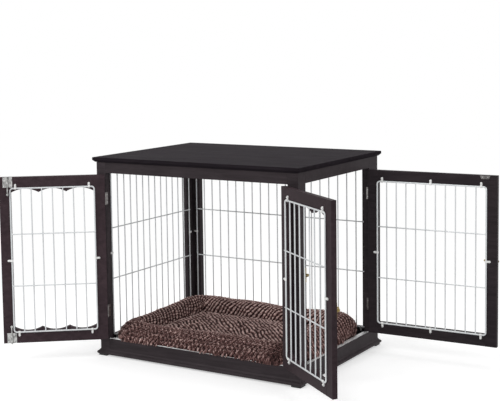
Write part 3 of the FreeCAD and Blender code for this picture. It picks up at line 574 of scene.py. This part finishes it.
def bolster_form(points):
    """The bolster as it lies in the crate: plump at its front left corner, sagging in the middle of its
    back, pressed to the left, and spilling over the two door sills."""
    out, _ = ring_coordinates(points)
    x, y, z = points.T.copy()
    outer = step_up(out, 0.0, 20.0)
    front = along_side(-y, BED_HALF_DEPTH)
    left = along_side(-x, BED_HALF_LENGTH)
    right = along_side(x, BED_HALF_LENGTH) * step_up(-y, -130.0, 90.0)
    raised = step_up(z, BED_SEAT, 50.0)
    plump = np.exp(-((x + 315.0) ** 2 + (y + 205.0) ** 2) / 95.0 ** 2)
    sag = (y > 0) * bell(x, 90.0, 110.0)
    full = outer * bell(z, 58.0, 16.0)
    z = z + (13.0 * plump - 9.0 * sag) * raised
    z = BED_SEAT + (z - BED_SEAT) * (1.0 - 0.07 * step_up(z, BED_SEAT, 40.0))
    spill = outer * bell(z, 70.0, 15.0)
    x = x - 4.0 * left * full - 4.0 * plump * outer * raised - 3.0 * step_up(z, BED_SEAT, 30.0)
    x = x + (RIGHT_SPILL + 1.5 * ripple(points, 30.0, 10)) * right * spill
    held_back = 0.25 + 0.75 * step_up(points[:, 0], -350.0, 65.0)
    front_spill = FRONT_SPILL + 1.2 * ripple(points, 30.0, 9)
    y = y - 5.0 * front * full - front_spill * front * spill * held_back
    return np.stack([x, y, z], axis=1)


def lay_on_sills(points):
    """Lets the pile down onto the tray inside the frame, onto the sills, and over the front sill's edge."""
    beyond = np.maximum(-INNER_HALF_DEPTH - points[:, 1], points[:, 0] - INNER_HALF_LENGTH)
    droop = 9.0 * step_up(beyond, 0.0, 5.0) * step_up(-points[:, 2], -86.0, 16.0)
    rest_level = BED_SEAT + (SILL_TOP + 0.6 - BED_SEAT) * step_up(beyond, -3.0, 3.0)
    hang = EDGE_HANG * step_up(-HALF_DEPTH - points[:, 1], 0.2, 1.2)
    points[:, 2] = np.maximum(points[:, 2] - droop, rest_level - hang)
    points[:, 0] = np.clip(points[:, 0], -INNER_HALF_LENGTH + WIRE_ROOM, HALF_LENGTH + SIDE_REACH)
    points[:, 1] = np.clip(points[:, 1], -HALF_DEPTH - EDGE_REACH, INNER_HALF_DEPTH - WIRE_ROOM)


def plush_bolster(material):
    """Ropes run slanting round the bolster; the front, seen from outside, is ruffled into small tufts."""
    skin = inflated("plush_bolster", "bed_bolster", 6.0, 6.0, 2.0, 2)
    write_points(skin.data, bolster_form(read_points(skin.data)))
    points, normals = read_points(skin.data), read_normals(skin.data)
    out, along = ring_coordinates(points)
    girth = np.arctan2(points[:, 2] - BOLSTER_MIDDLE, out) * BOLSTER_WIDTH / 2
    front = along_side(-points[:, 1], BED_HALF_DEPTH)
    left = along_side(-points[:, 0], BED_HALF_LENGTH)
    drift = 0.22 * ripple(points, 70.0, 1) + 0.07 * ripple(points, 24.0, 2)
    row = (along - 0.55 * girth) / ROPE_PITCH + drift
    tuft = girth / TUFT_PITCH + scatter(np.floor(row), 3) + 0.16 * ripple(points, 19.0, 4)
    strength = 0.42 + 0.30 * np.maximum(left, front)
    fuzz = 0.16 * ripple(points, 5.5, 5) + 0.10 * ripple(points, 3.2, 6)
    ruffled = 0.5 + 0.26 * ripple(points, 8.0, 7) + fuzz
    height = rope(row) * (1 - strength + strength * rope(tuft))
    height = height * (1 - 0.6 * front) + ruffled * 0.6 * front
    # painted shade in the creases between ropes and tufts, painted highlight on their backs
    shade = rope(row) ** 2.4 * (1 - strength + strength * rope(tuft) ** 2)
    shade = shade * (1 - 0.65 * front) + (ruffled - 0.08) * 0.65 * front
    lift = 1.1 * ripple(points, 85.0, 8) + PILE_DEPTH * (height + fuzz) - 1.0
    points = points + normals * lift[:, None]
    lay_on_sills(points)
    write_points(skin.data, points)
    shaded_end = 1.0 - 0.22 * along_side(points[:, 0], BED_HALF_LENGTH)
    keep_shade(skin.data, np.clip((shade + fuzz) * shaded_end, 0.0, 1.0))
    finish_plush(skin, "bed_bolster", material)


def plush_pad(material):
    skin = inflated("plush_pad", "bed_pad", 6.0, 6.0, 2.0, 2)
    points, normals = read_points(skin.data), read_normals(skin.data)
    x, y = points[:, 0], points[:, 1]
    drift = 0.20 * ripple(points, 60.0, 11) + 0.08 * ripple(points, 22.0, 12)
    lean = math.radians(43.0)
    row = (x * math.sin(lean) + y * math.cos(lean)) / PAD_ROPE_PITCH + drift
    tuft = ((x * math.cos(lean) - y * math.sin(lean)) / PAD_TUFT_PITCH + scatter(np.floor(row), 13)
            + 0.15 * ripple(points, 20.0, 14))
    height = rope(row) * (0.50 + 0.50 * rope(tuft))
    # painted shade in the creases between rows and tufts, painted highlight on their backs
    shade = rope(row) ** 3.0 * (0.40 + 0.60 * rope(tuft) ** 1.6)
    shade = shade + 0.07 * ripple(points, 55.0, 17)
    fuzz = 0.13 * ripple(points, 5.0, 15) + 0.09 * ripple(points, 3.0, 16)
    lift = PAD_PILE_DEPTH * (height + fuzz)
    points = points + normals * lift[:, None]
    hollow = np.exp(-((y + 0.35 * x + 50.0) / 45.0) ** 2) * np.exp(-((x - 20.0) / 190.0) ** 2)
    points[:, 2] -= 9.0 * hollow * (normals[:, 2] > 0)
    points[:, 2] = np.maximum(points[:, 2], BED_SEAT)
    write_points(skin.data, points)
    keep_shade(skin.data, np.clip(shade + 1.6 * fuzz, 0.0, 1.0))
    finish_plush(skin, "bed_pad", material)


def finish_plush(skin, node, material):
    skin.data.materials.clear()
    skin.data.materials.append(material)
    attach(skin, "bed")
    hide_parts(node)


# ------------------------------------------------------------------ screws
SILL_SCREW_BASE = 60.2
SILL_SCREWS = ([(x, -270.0) for x in (-330.0, -110.0, 110.0, 330.0)]
               + [(372.0, y) for y in (-200.0, 0.0, 180.0)])
HINGE_SCREW_WAY = 8.3       # from the hinge axis
HINGE_SCREW_STEP = 12.0     # from the leaf's middle
BOLT_PLATE_INSET = 17.0     # the bolt plates' middles, from the door's ends
PLATE_FACE = 1.2            # plates stand this far off the wood


def door_place(kind):
    """From a closed door's drawing, hinge axis at the origin, to the door as it stands open."""
    turn = {"left": LEFT_OPEN, "right": RIGHT_OPEN, "side": 90.0 + SIDE_OPEN}[kind]
    return hinge_place(kind) @ Matrix.Rotation(math.radians(turn), 4, "Z")


def hinge_place(kind):
    x, y = SIDE_AXIS if kind == "side" else FRONT_AXIS
    if kind == "left":
        return Matrix.Translation((-x, y, 0)) @ Matrix.Scale(-1, 4, (1, 0, 0))
    return Matrix.Translation((x, y, 0))


def closed_place(kind):
    return hinge_place(kind) @ Matrix.Rotation(math.radians(90.0 if kind == "side" else 0.0), 4, "Z")


def screw_head(bm, place, centre, facing, radius, rise):
    """A low domed head with a cross recess, standing on centre and facing outwards."""
    turn = Vector((0, 0, 1)).rotation_difference(Vector(facing)).to_matrix().to_4x4()
    spin = Matrix.Rotation(0.7 * (centre[0] + centre[2]), 4, "Z")
    matrix = place @ Matrix.Translation(centre) @ turn @ spin
    rings, sides = 7, 24
    made = []
    for ring in range(rings + 1):
        share = ring / rings
        for side in range(sides):
            angle = 2 * math.pi * side / sides
            x, y = radius * share * math.cos(angle), radius * share * math.sin(angle)
            z = rise * (1 - share ** 3)
            slot = 0.16 * radius
            if share < 0.6 and (abs(x) < slot or abs(y) < slot):
                z -= 0.7 * rise
            made.append(bm.verts.new(matrix @ Vector((x, y, z)) * MM))
    for ring in range(rings):
        for side in range(sides):
            after = (side + 1) % sides
            a, b = ring * sides + side, ring * sides + after
            bm.faces.new((made[a], made[b], made[b + sides], made[a + sides]))


def screw_set(name, body, material, screws):
    bm = bmesh.new()
    for screw in screws:
        screw_head(bm, *screw)
    bmesh.ops.remove_doubles(bm, verts=bm.verts, dist=1e-7)
    bmesh.ops.recalc_face_normals(bm, faces=bm.faces)
    mesh = bpy.data.meshes.new(name)
    bm.to_mesh(mesh)
    bm.free()
    mesh.shade_smooth()
    mesh.materials.append(material)
    piece = bpy.data.objects.new(name, mesh)
    scene.collection.objects.link(piece)
    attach(piece, body)


def hinge_screws(place, side):
    """Two screws on each leaf, on the face that the closed hinge hides."""
    return [(place, (side * 0.1, HINGE_SCREW_WAY, middle + step), (-side, 0, 0), 2.0, 0.09)
            for middle in HINGE_MIDDLES for step in (-HINGE_SCREW_STEP, HINGE_SCREW_STEP)]


def plate_screws(place, middle, half_width, half_height, face, facing):
    x, z = middle
    return [(place, (x + sx * half_width, face, z + sz * half_height), (0, facing, 0), 2.2, 0.9)
            for sx in (-1, 1) for sz in (-1, 1)]


def add_screws():
    steel = metal("screw_steel", (0.50, 0.50, 0.50), 0.30)
    gilt = metal("screw_brass", (0.30, 0.225, 0.10), 0.32)
    on_crate = []
    for kind in ("left", "right", "side"):
        on_crate += hinge_screws(closed_place(kind), 1)
        screw_set(kind + "_door_hinge_screws", kind + "_door", steel,
                  hinge_screws(door_place(kind), -1))
    on_crate += [(Matrix.Identity(4), (x, y, SILL_SCREW_BASE), (0, 0, 1), 2.6, 0.5)
                 for x, y in SILL_SCREWS]
    screw_set("crate_screws", "crate", steel, on_crate)
    free = -1.0 - FRONT_DOOR_WIDTH
    left = door_place("left")
    plates = []
    for level in (DOOR_BOTTOM + BOLT_PLATE_INSET, DOOR_TOP - BOLT_PLATE_INSET):
        plates += plate_screws(left, (free + 27.3, level), 11.5, 12.5, DOOR_INNER + PLATE_FACE, 1)
    screw_set("slide_bolt_screws", "left_door", steel, plates)
    screw_set("front_latch_screws", "right_door", gilt,
              plate_screws(door_place("right"), (free + 19.0, FRONT_LATCH_LEVEL), 5.5, 17.0,
                           DOOR_OUTER - PLATE_FACE, -1))
    side_free = -1.0 - SIDE_DOOR_WIDTH
    side = door_place("side")
    screw_set("side_latch_screws", "side_door", gilt,
              plate_screws(side, (side_free + 19.0, SIDE_LATCH_LEVEL), 5.5, 17.0,
                           DOOR_OUTER - PLATE_FACE, -1))
    plate_middle = side_free + 39.5
    screw_set("counter_plate_screws", "side_door", steel,
              [(side, (plate_middle + step, DOOR_INNER + PLATE_FACE, DOOR_TOP - 6.5), (0, 1, 0), 1.8, 0.6)
               for step in (-8.5, 8.5)])


make_camera()
make_world()
make_lights()
make_stage()
paint_cad()
add_screws()
PLUSH = plush_cloth()
plush_bolster(PLUSH)
plush_pad(PLUSH)
